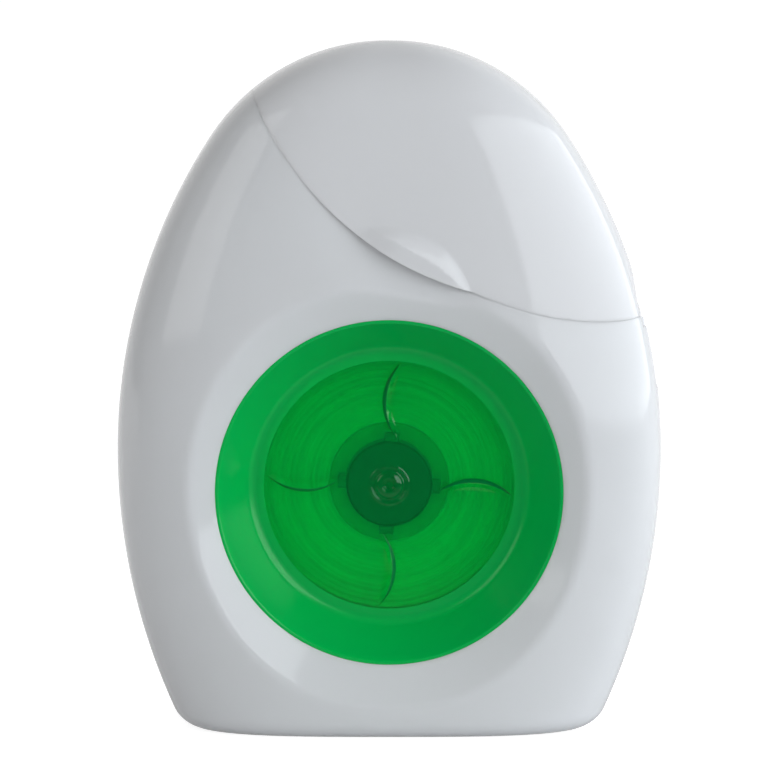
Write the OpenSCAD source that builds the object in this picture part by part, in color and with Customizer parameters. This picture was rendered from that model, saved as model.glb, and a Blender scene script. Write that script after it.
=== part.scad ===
// Egg-shaped dental floss dispenser with a flip lid and a green spool window.
// X runs to the right, Y to the back and Z up, and the origin is under the middle of the base.

/* [Case] */
// Height of the whole dispenser
case_h = 62; // [58:0.5:70]
// Half of the width at the widest height
case_half_w = 24.6; // [23.5:0.1:27]
// Height at which the case is widest
wide_z = 25; // [23:0.5:28]
// Radius of the rounded top in the front view
top_r = 19.3; // [17:0.1:21]
// Radius of the flank below the widest height
flank_low_r = 57; // [50:1:80]
// Half of the thickness, at the middle of the crowned front
case_half_d = 11; // [10.5:0.1:13]
// Height at which the case is thickest
thick_z = 22.5; // [20:0.5:26]
// Radius of the rounded top in the side view
top_side_r = 7.5; // [6:0.1:9]
// Half of the thickness at the base
base_half_d = 9.9; // [9:0.1:12]
// Squareness of the horizontal sections, where 2 is an ellipse
squareness = 3.2; // [2.4:0.1:3.6]
// Radius of the rounding round the base
base_round = 1.6; // [1:0.1:2.5]
// Wall of the two case shells
wall = 1.6; // [1.4:0.1:2]
// Height of the tongue that lines the shells up
tongue_h = 1.2; // [0.8:0.1:2]
// Thickness of that tongue
tongue_t = 0.8; // [0.6:0.1:1.2]
// Gap between the tongue and the front shell's wall
tongue_gap = 0.3; // [0.25:0.05:0.4]

/* [Window] */
// Height of the window's centre
window_z = 22.2; // [21:0.1:24]
// Radius of the window at its rim
rim_r = 15.6; // [14:0.1:16.5]
// Distance of the rim's plane behind the crown of the front
rim_sink = 2.4; // [2:0.1:2.8]
// Rise of the dished face outside the rim, for each unit of its reach
dish_slope = 0.42; // [0.36:0.01:0.5]
// Depth of the window's bowl below the rim
bowl_depth = 4.7; // [4.2:0.1:5.2]
// Draw-in of the bowl's foot from the rim
foot_in = 2.7; // [2:0.1:3.5]
// Width of the fillet band at the foot
foot_band = 0.8; // [0.4:0.1:1.2]
// Wall of the window moulding
window_wall = 1.1; // [0.9:0.1:1.4]
// Reach of the flange beyond the rim, behind the shell's seat
flange_out = 1.8; // [1.2:0.1:2.4]
// Thickness of that flange
flange_t = 0.9; // [0.7:0.1:1.2]
// Depth of the shell's seat ring behind the rim
seat_depth = 2; // [1.6:0.1:2.4]
// Reach of that ring beyond the flange
seat_t = 1.2; // [0.8:0.1:1.4]
// Distance of the curved fins' tips from the bowl's foot
fin_gap = 1.7; // [1.2:0.1:3]
// Rise of a fin's outer edge above its chord
fin_bow = 1.5; // [1:0.1:2]
// Distance of a fin's tips from the line through its lug
fin_lead = 0.43; // [0:0.01:1]
// Width of a fin at its middle
fin_w = 1.1; // [0.6:0.1:1.3]
// Height of a fin above the panel
fin_h = 0.4; // [0.2:0.1:0.5]
// Radius of the small pip in the middle of the panel
pip_r = 1.2; // [0.8:0.1:1.5]

/* [Spool] */
// Radius of the spindle's hub
hub_r = 3.9; // [3.4:0.1:4.4]
// Reach beyond the hub of the four lugs that keep the core on it
lug_out = 0.75; // [0.5:0.05:1]
// Width of a lug
lug_w = 1.35; // [1:0.05:1.8]
// Length of a lug along the hub
lug_l = 0.9; // [0.6:0.1:1.2]
// Angle by which the lugs and the fins are turned from upright
lug_turn = 3.5; // [0:0.5:10]
// Radial clearance of the core on the hub
run_clear = 0.08; // [0.04:0.01:0.1]
// Wall of the core tube
core_wall = 1.4; // [1:0.1:1.8]
// Axial play of the core between the window and the rear boss
core_play = 0.3; // [0.25:0.05:0.5]
// Radius of the packed floss
roll_r = 11.6; // [9:0.1:12.2]
// Length of bare core at each end of the packed floss
core_bare = 0.4; // [0.3:0.1:1]
// Thickness of the floss
floss_d = 0.46; // [0.4:0.02:0.5]
// Step between two turns of the outer layer
turn_pitch = 0.92; // [0.9:0.02:1.1]
// Number of turns in the outer layer
turn_count = 8; // [5:1:8]
// Radius of the pin at the spindle's rear end
pin_r = 2.5; // [2:0.1:3]
// Length of that pin
pin_l = 1.5; // [1:0.1:1.8]
// Height of the rear shell's boss round the pin
boss_h = 0.7; // [0.5:0.1:1]

/* [Lid] */
// Radius of both seam arcs
seam_r = 30; // [28:0.5:33]
// Distance of the left seam arc's centre inside the widest point
seam_left_in = 9.3; // [8:0.1:11]
// Height of that centre above the top
seam_left_up = 7.4; // [6:0.1:9]
// Distance of the right seam arc's centre inside the widest point
seam_right_in = 4.2; // [3:0.1:5]
// Height of that centre above the top
seam_right_up = 5.5; // [4:0.1:7]
// Gap between the lid and the case
seam_gap = 0.3; // [0.3:0.05:0.5]
// Wall of the lid
lid_wall = 1.4; // [1.2:0.1:1.6]
// Radius of the thumb lip's crease
lip_r = 7.5; // [6:0.1:9]
// Distance of that crease's centre to the left of the left seam arc's
lip_in = 15.3; // [14:0.1:17]
// Distance of that crease's centre below the left seam arc's
lip_down = 30.5; // [29.5:0.1:31.5]
// Distance of the lip's ridge from the seam
lip_ridge = 1.6; // [1:0.1:2]
// Distance of the thumb lip's ridge behind the crown of the front
lip_sink = 0.95; // [0.9:0.05:1.2]
// Depth of the finger dish under the lip
scoop_depth = 0.8; // [0.5:0.05:0.9]
// Radius of the ball that the finger dish is cut by
scoop_r = 14; // [10:0.5:20]
// Height of the finger dish's middle above the crease's centre
scoop_up = 2.7; // [2:0.1:3.2]
// Half of the hinge's length
hinge_half = 3; // [2:0.1:3.4]
// Distance of the hinge's axis inside the flank
hinge_in = 0.55; // [0.45:0.05:0.7]
// Thickness of the hinge film
film_t = 0.3; // [0.25:0.05:0.4]
// Length of the strap that anchors the hinge
strap_l = 6.4; // [5:0.1:8]
// Thickness of that strap
strap_t = 0.7; // [0.6:0.1:1]
// Radius of the strap's anchor peg
peg_r = 1.2; // [0.8:0.1:1.6]

/* [Deck] */
// Depth of the deck below the case's edge
deck_drop = 1.2; // [0.8:0.1:2]
// Thickness of the deck
deck_t = 1.2; // [1:0.1:1.6]
// Height of the collar above the case's edge
collar_h = 1.5; // [1:0.1:2]
// Thickness of that collar
collar_t = 1; // [0.8:0.1:1.4]
// Distance of the guide turret from the middle
turret_x = 4; // [3:0.1:6]
// Radius of the guide turret
turret_r = 3.6; // [3:0.1:4]
// Distance of the turret's top below the top of the case
turret_down = 16.4; // [15:0.1:18]
// Radius of the hole that the floss leaves by
eyelet_r = 0.7; // [0.5:0.05:1]
// Thickness of the cutter's steel
steel_t = 0.4; // [0.3:0.05:0.5]
// Height of the cutter's tooth
tooth_h = 2.4; // [1.8:0.1:3]
// Gap round what is pushed into a slot or a seat
fit = 0.1; // [0.05:0.01:0.15]

/* [Hidden] */
$fn = 96;
past = 20;
section_points = 48;
section_rings = 22;
hollow_points = 32;
hollow_rings = 14;

// Arcs of the front outline, each tangent to the next
top_c = case_h - top_r;
flank_r = (pow(case_half_w, 2) + pow(top_c - wide_z, 2) - pow(top_r, 2)) / (2 * (case_half_w - top_r));
flank_x = case_half_w - flank_r;
flank_turn = atan2(top_c - wide_z, -flank_x);

// Arcs of the side outline
side_c = case_h - top_side_r;

// Seam of the lid, two arcs round these centres
seam_left = [case_half_w - seam_left_in, case_h + seam_left_up];
seam_right = [case_half_w - seam_right_in, case_h + seam_right_up];

// Radii of the window and the spindle's lugs
foot_r = rim_r - foot_in;
flange_r = rim_r + flange_out;
fin_tip_r = foot_r - fin_gap;
lug_r = hub_r + lug_out;

// Planes along Y
rim_y = case_half_d - rim_sink;
panel_y = bowl_depth - rim_y;
panel_back = panel_y + window_wall;
seat_y = seat_depth - rim_y;
rear_half_d = side_half(window_z - dish_edge(rim_r, 8), case_half_d, 0);
boss_y = rear_half_d - wall - boss_h;
core_front = panel_back + lug_l + core_play;
core_back = boss_y - core_play;
core_r = hub_r + run_clear;
roll_core_r = core_r + core_wall;
hub_seat = 0.3;
hub_y = panel_back - hub_seat + 0.05;

// Hinge on the right flank, just above the seam's lowest point, with a pad of wall behind its strap
hinge_z = seam_right[1] - seam_r + 0.05;
hinge_x = front_half(hinge_z, 0) - hinge_in;
pad_x = hinge_x - 1.9;
pad_edge = 1.4;
pad_up = 4.2;
lid_flat_reach = 1.2;
lid_room = 0.7;
web_low = hinge_z - 0.35;
web_high = seam_right[1] - sqrt(pow(seam_r - seam_gap, 2) - pow(hinge_x - 0.25 - seam_right[0], 2));
strap_out = 0.4;
peg_x = hinge_x - 1.1;
peg_l = 1.4;

// Thumb lip and the finger dish under it
lip_x = seam_left[0] - lip_in;
lip_z = seam_left[1] - lip_down;
lip_y = case_half_d - lip_sink;
scoop_x = lip_x + 1.2;
scoop_z = lip_z + scoop_up;

// Deck, its turret and the two prongs that hold the cutter in slots
turret_z = case_h - turret_down;
turret_wall = 1.3;
turret_roof = 2.6;
prong_y = 2.3;
prong_w = 1.1;
prong_l = 1.2;

// Route of the free floss from the spool through the turret to the tooth
strand_route = [
    [10.75, 6.0, 28.9], [10.0, 5.7, 30.1], [9.2, 5.2, 31.2], [8.3, 4.6, 32.3], [7.4, 3.9, 33.4],
    [6.5, 3.1, 34.5], [5.7, 2.2, 35.6], [5.0, 1.3, 36.7], [4.4, 0.5, 37.8], [4.1, 0.1, 38.9],
    [4.0, 0, 40.1], [4.0, 0, 41.4], [4.0, 0, 42.7], [4.0, 0, 44.0], [4.0, 0, 45.2],
    [3.9, 0, 46.3], [3.5, 0, 47.2], [2.8, 0, 47.75], [1.9, 0, 47.9], [0.9, 0, 47.75],
    [0, 0, 47.3], [-0.7, 0, 46.6], [-1.2, 0, 45.7]];

function sq(t) = t * t;
function signed_power(t, p) = t == 0 ? 0 : sign(t) * pow(abs(t), p);
function unit(v) = v / norm(v);
function arc_r(half, bow) = (sq(half) + sq(bow)) / (2 * bow);

// Half of the width at height z, with the whole outline drawn in by inset
function front_half(z, inset) =
    z < wide_z
        ? case_half_w - flank_low_r + sqrt(sq(flank_low_r - inset) - sq(z - wide_z))
        : z < top_c + (top_r - inset) * sin(flank_turn)
            ? flank_x + sqrt(sq(flank_r - inset) - sq(z - wide_z))
            : sqrt(max(0, sq(top_r - inset) - sq(z - top_c)));

// Half of the thickness at height z of a face whose crown stands at half_d
function side_r(half_d) = (sq(half_d) + sq(side_c - thick_z) - sq(top_side_r)) / (2 * (half_d - top_side_r));
function side_low_r(half_d) = (sq(thick_z) + sq(half_d * (1 - base_half_d / case_half_d)))
    / (2 * half_d * (1 - base_half_d / case_half_d));
function side_half(z, half_d, inset) =
    z < thick_z
        ? half_d - side_low_r(half_d) + sqrt(sq(side_low_r(half_d) - inset) - sq(z - thick_z))
        : z < side_c + (top_side_r - inset) * sin(atan2(side_c - thick_z, side_r(half_d) - half_d))
            ? half_d - side_r(half_d) + sqrt(sq(side_r(half_d) - inset) - sq(z - thick_z))
            : sqrt(max(0, sq(top_side_r - inset) - sq(z - side_c)));

// Radius at which the dished face runs out below the window, found in steps
function dish_edge(r, steps) = steps == 0
    ? r
    : dish_edge(rim_r + (side_half(window_z - r, case_half_d, 0) - rim_y) / dish_slope, steps - 1);

// Draw-in of the rounding round the base
function base_draw(z) = z < base_round ? base_round - sqrt(sq(base_round) - sq(base_round - z)) : 0;

// One horizontal section of the case from one angle to another
function section(z, inset, from, to, points) = [
    for (i = [0:points])
        let (a = from + (to - from) * i / points)
        let (draw = inset > 0 ? 0 : base_draw(z))
        let (d = side_half(z, sin(a) < 0 ? case_half_d : rear_half_d, inset))
        [(front_half(z, inset) - draw) * signed_power(cos(a), 2 / squareness),
         (d - draw) * signed_power(sin(a), 2 / squareness),
         z]];

// Solid through a stack of rings that have equal numbers of points
module skin(rings) {
    n = len(rings[0]);
    last = len(rings) - 1;
    sides = [for (k = [0:last - 1], i = [0:n - 1], half = [0:1])
        let (a = k * n + i, b = k * n + (i + 1) % n, c = b + n, d = a + n)
        half == 0 ? [a, d, c] : [a, c, b]];
    polyhedron(
        points = [for (ring = rings) each ring],
        faces = concat([[for (i = [0:n - 1]) i]], sides, [[for (i = [n - 1:-1:0]) last * n + i]]));
}

// Outer form of the case above floor_z, from one angle to another round it
module form(floor_z, from, to, points) {
    round_steps = floor_z > 0 ? [] : [for (a = [0:30:60]) base_round * (1 - cos(a))];
    start = floor_z > 0 ? floor_z : base_round;
    heights = concat(round_steps,
        [for (k = [0:section_rings])
            start + (case_h - start) * sin(90 * min(k, section_rings - 0.2) / section_rings)]);
    skin([for (z = heights) section(z, 0, from, to, points)]);
}

// Hollow inside the case, drawn in by inset on every side
module hollow(inset, floor_z) {
    rings = floor_z > wide_z ? hollow_rings - 4 : hollow_rings;
    top = case_h - inset;
    skin([for (k = [0:rings])
        let (z = floor_z + (top - floor_z) * sin(90 * min(k, rings - 0.3) / rings))
        [for (i = [0:hollow_points - 1]) section(z, inset, 0, 360, hollow_points)[i]]]);
}

// Flat outline of the case, drawn in by inset, with its corners at the heights of the hollow's rings
module outline(inset) {
    right = [for (k = [0:hollow_rings])
        let (z = inset + (case_h - 2 * inset) * sin(90 * min(k, hollow_rings - 0.3) / hollow_rings))
        [front_half(z, inset), z]];
    polygon(concat(right, [for (k = [hollow_rings:-1:0]) [-right[k][0], right[k][1]]]));
}

// Flat shape in X and Z, drawn out along Y
module along_y(from, to) {
    translate([0, to, 0]) rotate([90, 0, 0]) linear_extrude(to - from) children();
}

// Round rod along Y, with its centre at x and z
module rod(x, z, r, from, to) {
    translate([x, from, z]) rotate([-90, 0, 0]) cylinder(r = r, h = to - from);
}

// Everything on the lid's side of the seam, which grows by grow
module above_seam(grow) {
    for (c = [seam_left, seam_right]) rod(c[0], c[1], seam_r + grow, -past, past);
}

// Slab beside the right flank, outside the arc that lies inset within it
module beside_flank(inset, half, low, high) {
    reach = 6;
    difference() {
        translate([hinge_x - reach, -half, low]) cube([2 * reach, 2 * half, high - low]);
        rod(flank_x, wide_z, flank_r - inset, -past, past);
    }
}

// Space inside both shells, less the window's seat and the pad behind the strap
module case_hollow() {
    difference() {
        hollow(wall, wall);
        rod(0, window_z, flange_r + seat_t, -past, seat_y);
        translate([pad_x, -hinge_half - pad_edge, web_low - strap_l - pad_edge])
            cube([past, 2 * (hinge_half + pad_edge), strap_l + pad_edge + pad_up]);
    }
}

// Seat of the hinge strap and its peg, and room for the flat of the open lid
module strap_seat() {
    seat_top = web_low + pad_up;
    beside_flank(strap_out + strap_t, hinge_half + lid_flat_reach + fit, hinge_z - lid_room, seat_top);
    beside_flank(strap_out + strap_t + fit, hinge_half + fit, web_low - strap_l - fit, seat_top);
    translate([peg_x - fit, 0, web_low - strap_l / 2]) rotate([0, 90, 0])
        cylinder(r = peg_r + fit, h = 2 * peg_l);
}

module front_shell() {
    lip_floor = side_half(scoop_z, case_half_d, 0) - scoop_depth;
    dish_h = rim_sink + 0.6;
    color("whitesmoke") difference() {
        form(0, 180, 360, section_points / 2);
        case_hollow();
        above_seam(0);
        rod(0, window_z, rim_r + fit, -past, 0);
        translate([0, -rim_y, window_z]) rotate([90, 0, 0])
            cylinder(r1 = rim_r + fit, r2 = rim_r + fit + dish_h / dish_slope, h = dish_h);
        translate([scoop_x, -lip_floor - scoop_r, scoop_z]) sphere(r = scoop_r);
        strap_seat();
    }
}

module rear_shell() {
    color("whitesmoke") {
        difference() {
            union() {
                difference() {
                    form(0, 0, 180, section_points / 2);
                    case_hollow();
                }
                rod(0, window_z, pin_r + 2, boss_y, rear_half_d - 1);
            }
            above_seam(0);
            rod(0, window_z, pin_r + fit, 0, boss_y + pin_l + fit);
            strap_seat();
        }
        difference() {
            for (root = [0, 1]) along_y(root == 0 ? -tongue_h : 0, root * tongue_h) difference() {
                outline(root == 0 ? wall + tongue_gap : wall - tongue_gap);
                outline(wall + tongue_gap + tongue_t);
            }
            above_seam(deck_drop + deck_t + 0.5);
            translate([pad_x - fit, -past, 0]) cube([past, 2 * past, case_h]);
        }
    }
}

// Crescent fin between two arcs that share its tips
module fin() {
    root = lug_r - 0.3;
    half = (fin_tip_r - root) / 2;
    outer = arc_r(half, fin_bow);
    inner = arc_r(half, fin_bow - fin_w);
    translate([fin_bow - fin_lead, root + half]) difference() {
        translate([-outer, 0]) circle(r = outer);
        translate([-inner - fin_w, 0]) circle(r = inner);
    }
}

module window() {
    groove = 0.15;
    pip_y = panel_y + groove;
    ring_r = pip_r + 0.4;
    color("limegreen") translate([0, 0, window_z]) rotate([-90, 0, 0]) {
        difference() {
            rotate_extrude() polygon([
                [0, pip_y], [pip_r / 3, pip_y], [pip_r / 2, panel_y - groove], [pip_r, panel_y],
                [pip_r + groove, pip_y], [ring_r - 0.05, pip_y], [ring_r, panel_y],
                [foot_r - foot_band, panel_y], [foot_r, panel_y - foot_band],
                [rim_r - 0.4, -rim_y], [rim_r, -rim_y], [rim_r, seat_y], [flange_r, seat_y],
                [flange_r, seat_y + flange_t], [rim_r - 1, seat_y + flange_t],
                [foot_r + 0.5, panel_back], [0, panel_back]]);
            translate([0, 0, panel_back - hub_seat]) cylinder(r = hub_r + fit, h = 2 * hub_seat);
        }
        translate([0, 0, panel_y - fin_h]) linear_extrude(fin_h + 0.3)
            for (a = [0:90:270]) rotate(a + 180 + lug_turn) fin();
    }
}

module spindle() {
    color("darkgreen") translate([0, 0, window_z]) rotate([-90, 0, 0]) difference() {
        union() {
            translate([0, 0, hub_y]) cylinder(r = hub_r, h = boss_y - hub_y);
            translate([0, 0, hub_y]) cylinder(r = pin_r, h = boss_y + pin_l - hub_y);
            translate([0, 0, panel_back + 0.05]) rotate(lug_turn) intersection() {
                cylinder(r = lug_r, h = lug_l - 0.05);
                union() for (a = [0, 90]) rotate(a)
                    translate([-lug_w / 2, -lug_r - 1, 0]) cube([lug_w, 2 * lug_r + 2, lug_l - 0.05]);
            }
        }
        translate([0, 0, hub_y + 1.2]) cylinder(r = pin_r - 1, h = boss_y + pin_l);
    }
}

module bobbin_core() {
    color("burlywood") difference() {
        rod(0, window_z, roll_core_r, core_front, core_back);
        rod(0, window_z, core_r, core_front - 1, core_back + 1);
    }
}

module floss_roll() {
    color("ivory") difference() {
        rod(0, window_z, roll_r, core_front + core_bare, core_back - core_bare);
        rod(0, window_z, roll_core_r, core_front - 1, core_back + 1);
    }
}

// Tube round a route of centre points, with an even number of flat sides
module tube(route, r, sides) {
    last = len(route) - 1;
    skin([for (k = [0:last])
        let (t = unit(route[min(k + 1, last)] - route[max(k - 1, 0)]))
        let (u = unit(cross([0, 1, 0], t)), v = cross(t, u))
        [for (i = [0:sides - 1])
            route[k] + r * (cos(360 * i / sides) * u + sin(360 * i / sides) * v)]]);
}

// Centre points of the outer layer, whose two ends run straight for one diameter
turn_steps = 24;
turn_r = (roll_r + floss_d / 2) / cos(180 / turn_steps) + 0.02;
turn_start = (core_front + core_back - turn_count * turn_pitch) / 2;
turn_end_a = 35;
function turn_point(k) =
    let (a = turn_end_a + 360 * (k / turn_steps - turn_count))
    [turn_r * cos(a), turn_start + turn_pitch * k / turn_steps, window_z + turn_r * sin(a)];
turn_last = turn_count * turn_steps;
turn_route = concat(
    [turn_point(0) - floss_d * unit(turn_point(1) - turn_point(0))],
    [for (k = [0:turn_last]) turn_point(k)],
    [turn_point(turn_last) + floss_d * unit(turn_point(turn_last) - turn_point(turn_last - 1))]);
turn_gap = min([for (i = [1:turn_last], j = [i + turn_steps / 2:turn_last])
    norm(turn_route[i] - turn_route[j])]) - floss_d;
echo(least_gap_of_the_turns = turn_gap);  // floss_turns

module floss_turns() {
    color("white") tube(turn_route, floss_d / 2, 6);
}

module floss_strand() {
    color("white") tube(strand_route, floss_d / 2, 8);
}

module deck() {
    edge = wall + fit;
    collar_in = 0.25;
    beside_pad = 0.4;
    color("whitesmoke") difference() {
        union() {
            intersection() {
                hollow(edge, wall);
                difference() {
                    above_seam(deck_drop + deck_t);
                    above_seam(deck_drop);
                }
            }
            intersection() {
                difference() {
                    hollow(edge + collar_in, wall);
                    hollow(edge + collar_in + collar_t, wall);
                }
                difference() {
                    above_seam(deck_drop + 0.2);
                    above_seam(-collar_h);
                }
            }
            intersection() {
                translate([turret_x, 0, wide_z]) cylinder(r = turret_r, h = turret_z - wide_z);
                above_seam(deck_drop + deck_t);
            }
        }
        translate([pad_x - beside_pad, -past, 0]) cube([past, 2 * past, case_h]);
        rod(0, window_z, flange_r + seat_t + fit, -past, seat_y + flange_t + fit);
        translate([turret_x, 0, 0]) cylinder(r = eyelet_r, h = case_h);
        translate([turret_x, 0, 0]) cylinder(r = turret_r - turret_wall, h = turret_z - turret_roof);
        for (side = [-1, 1])
            translate([turret_x, side * prong_y, turret_z])
                cube([prong_w + fit, steel_t + fit, 2 * (prong_l + fit)], center = true);
    }
}

module cutter() {
    plate_l = 5.2;
    plate_w = 5;
    heel = turret_x - turret_r - 0.1;
    shoulder = 1;
    tip_half = 1.1;
    slit_half = 0.5;
    slit_l = 1.1;
    color("silver") {
        difference() {
            union() {
                translate([heel, -plate_w / 2, turret_z]) cube([plate_l, plate_w, steel_t]);
                translate([heel, 0, turret_z]) rotate([90, 0, 90]) linear_extrude(steel_t)
                    polygon([[-plate_w / 2, 0], [plate_w / 2, 0], [plate_w / 2, shoulder],
                             [tip_half, tooth_h], [slit_half, tooth_h], [0, tooth_h - slit_l],
                             [-slit_half, tooth_h], [-tip_half, tooth_h], [-plate_w / 2, shoulder]]);
                for (side = [-1, 1])
                    translate([turret_x - prong_w / 2, side * prong_y - steel_t / 2, turret_z - prong_l])
                        cube([prong_w, steel_t, prong_l + 0.1]);
            }
            translate([turret_x, 0, turret_z - 1]) cylinder(r = eyelet_r + 0.4, h = 3);
        }
    }
}

module lid() {
    lip_root = case_half_d - 2.6;
    lip_foot = case_half_d - 1.7;
    lip_drop = 0.5;
    color("white") {
        difference() {
            intersection() {
                form(hinge_z - 1.5, 0, 360 - 360 / section_points, section_points - 1);
                above_seam(-seam_gap);
            }
            hollow(lid_wall, hinge_z - 3);
            beside_flank(strap_out, hinge_half + lid_flat_reach, hinge_z - 6, hinge_z + 3);
        }
        difference() {
            intersection() {
                rod(lip_x, lip_z, lip_r, -lip_y, -lip_root);
                above_seam(-seam_gap);
                translate([seam_left[0], 0, seam_left[1]]) rotate([-90, 0, 0]) rotate_extrude() polygon([
                    [seam_r - 6, -lip_root], [seam_r - 5, -lip_foot], [seam_r - lip_ridge, -lip_y],
                    [seam_r, -lip_y + lip_drop], [seam_r + 1, -lip_root]]);
            }
            hollow(lid_wall - 0.4, hinge_z - 3);
        }
    }
}

module hinge_web() {
    color("white") translate([hinge_x + 0.1 - film_t, -hinge_half, web_low])
        cube([film_t, 2 * hinge_half, web_high - web_low]);
}

module hinge_strap() {
    color("white") {
        intersection() {
            beside_flank(strap_out + strap_t, hinge_half, web_low - strap_l, web_low);
            rod(flank_x, wide_z, flank_r - strap_out, -past, past);
        }
        translate([peg_x, 0, web_low - strap_l / 2]) rotate([0, 90, 0]) cylinder(r = peg_r, h = peg_l);
    }
}

front_shell();
rear_shell();
window();
spindle();
bobbin_core();
floss_roll();
floss_turns();
floss_strand();
deck();
cutter();
lid();
hinge_web();
hinge_strap();
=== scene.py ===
import math

import bmesh
import bpy
from mathutils import Matrix, Vector, noise


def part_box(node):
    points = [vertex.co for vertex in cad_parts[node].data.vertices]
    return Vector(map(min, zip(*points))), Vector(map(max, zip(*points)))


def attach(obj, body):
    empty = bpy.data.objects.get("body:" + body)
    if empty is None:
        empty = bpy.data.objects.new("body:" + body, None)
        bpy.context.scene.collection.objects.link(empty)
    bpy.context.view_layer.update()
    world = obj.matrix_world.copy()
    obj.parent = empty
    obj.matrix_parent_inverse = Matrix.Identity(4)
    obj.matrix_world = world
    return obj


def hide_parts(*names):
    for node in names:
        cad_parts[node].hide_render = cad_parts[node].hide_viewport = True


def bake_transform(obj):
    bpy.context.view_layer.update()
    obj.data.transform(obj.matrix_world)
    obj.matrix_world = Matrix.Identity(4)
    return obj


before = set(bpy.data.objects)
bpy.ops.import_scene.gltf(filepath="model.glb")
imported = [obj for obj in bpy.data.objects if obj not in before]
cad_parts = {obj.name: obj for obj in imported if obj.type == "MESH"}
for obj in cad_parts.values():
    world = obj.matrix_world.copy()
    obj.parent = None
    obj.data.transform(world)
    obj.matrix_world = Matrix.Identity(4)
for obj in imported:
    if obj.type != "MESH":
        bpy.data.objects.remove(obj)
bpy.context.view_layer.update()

# Photo table: a pale sweep under the dispenser, one tall soft panel at its right and room light
# all round, seen by a long lens a little above the table.
camera_height_angle = math.radians(8)
camera_distance = 0.6
frame_width = 0.0706
aim = Vector((0.00007, 0, 0.0303))
lens_data = bpy.data.cameras.new("camera")
lens_data.sensor_width = 36
lens_data.lens = lens_data.sensor_width * camera_distance / frame_width
camera = bpy.data.objects.new("camera", lens_data)
camera_side = Vector((0, -math.cos(camera_height_angle), math.sin(camera_height_angle)))
camera.location = aim + camera_distance * camera_side
camera.rotation_euler = (math.pi / 2 - camera_height_angle, 0, 0)
bpy.context.scene.collection.objects.link(camera)
bpy.context.scene.camera = camera
bpy.context.scene.view_settings.view_transform = "Standard"


def soft_panel(name, place, towards, width, height, colour, power):
    """A soft box of that size in metres, which faces a point and doesn't show to the camera."""
    light = bpy.data.lights.new(name, "AREA")
    light.color = colour
    light.shape = "RECTANGLE"
    light.size, light.size_y = width, height
    light.energy = power
    panel = bpy.data.objects.new(name, light)
    panel.location = place
    panel.rotation_euler = (Vector(towards) - Vector(place)).to_track_quat("-Z", "Y").to_euler()
    panel.visible_camera = False
    bpy.context.scene.collection.objects.link(panel)


object_middle = (0.0, 0.0, 0.03)
cool_white, plain_white = (0.95, 1.0, 1.05), (1, 1, 1)
soft_panel("side_panel", (0.46, -0.13, 0.12), object_middle, 1.4, 0.56, cool_white, 5.5)
soft_panel("left_fill", (-0.5, -0.4, 0.3), object_middle, 0.4, 0.4, plain_white, 0.6)


def new_material(name):
    """A bare node material, with its tree and its output."""
    material = bpy.data.materials.new(name)
    material.use_nodes = True
    tree = material.node_tree
    tree.nodes.clear()
    return material, tree, tree.nodes.new("ShaderNodeOutputMaterial")


def largest(tree, first, *others):
    """The largest of several values."""
    for other in others:
        pick = tree.nodes.new("ShaderNodeMath")
        pick.operation = "MAXIMUM"
        tree.links.new(first, pick.inputs[0])
        tree.links.new(other, pick.inputs[1])
        first = pick.outputs[0]
    return first


room_light, room_front, room_back = 0.375, 0.02, 0.84


def dark_in_front(tree, coordinates, start, end):
    """Strength that the gloss sees, which grows from the dark front of the room to its bright back."""
    where = tree.nodes.new("ShaderNodeTexCoord")
    apart = tree.nodes.new("ShaderNodeSeparateXYZ")
    growth = tree.nodes.new("ShaderNodeMapRange")
    growth.interpolation_type = "SMOOTHSTEP"
    growth.inputs["From Min"].default_value = start
    growth.inputs["From Max"].default_value = end
    growth.inputs["To Min"].default_value = room_front
    growth.inputs["To Max"].default_value = room_back
    tree.links.new(where.outputs[coordinates], apart.inputs["Vector"])
    tree.links.new(apart.outputs["Y"], growth.inputs["Value"])
    return growth.outputs["Result"]


room = bpy.data.worlds.new("room")
room.use_nodes = True
bpy.context.scene.world = room
tree = room.node_tree
sky = tree.nodes["Background"]
sky.inputs["Color"].default_value = (1, 1, 1, 1)
path = tree.nodes.new("ShaderNodeLightPath")
in_gloss = tree.nodes.new("ShaderNodeMapRange")
in_gloss.inputs["To Min"].default_value = room_light
tree.links.new(path.outputs["Is Glossy Ray"], in_gloss.inputs["Value"])
tree.links.new(dark_in_front(tree, "Generated", 0.2, 0.9), in_gloss.inputs["To Max"])
tree.links.new(largest(tree, path.outputs["Is Camera Ray"], path.outputs["Is Transmission Ray"],
                       in_gloss.outputs["Result"]), sky.inputs["Strength"])

sweep_size, sweep_drop = 3, 0.00003
paper_glow, glow_seen = 1.6, 0.55
sweep_white, tree, output = new_material("sweep_white")
paper = tree.nodes.new("ShaderNodeBsdfDiffuse")
paper.inputs["Color"].default_value = (0.86, 0.86, 0.87, 1)
glow = tree.nodes.new("ShaderNodeEmission")
glow.inputs["Strength"].default_value = paper_glow
paper_mix = tree.nodes.new("ShaderNodeMixShader")
glow_share = tree.nodes.new("ShaderNodeMath")
glow_share.operation = "MULTIPLY"
glow_share.inputs[1].default_value = glow_seen
path = tree.nodes.new("ShaderNodeLightPath")
tree.links.new(largest(tree, path.outputs["Is Camera Ray"], path.outputs["Is Transmission Ray"]),
               glow_share.inputs[0])
tree.links.new(glow_share.outputs[0], paper_mix.inputs[0])
tree.links.new(paper.outputs[0], paper_mix.inputs[1])
tree.links.new(glow.outputs[0], paper_mix.inputs[2])
reflected = tree.nodes.new("ShaderNodeEmission")
tree.links.new(dark_in_front(tree, "Object", -0.11, 0.1), reflected.inputs["Strength"])
reflection_mix = tree.nodes.new("ShaderNodeMixShader")
in_gloss = tree.nodes.new("ShaderNodeMath")
in_gloss.operation = "SUBTRACT"
tree.links.new(path.outputs["Is Glossy Ray"], in_gloss.inputs[0])
tree.links.new(path.outputs["Is Transmission Ray"], in_gloss.inputs[1])
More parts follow.
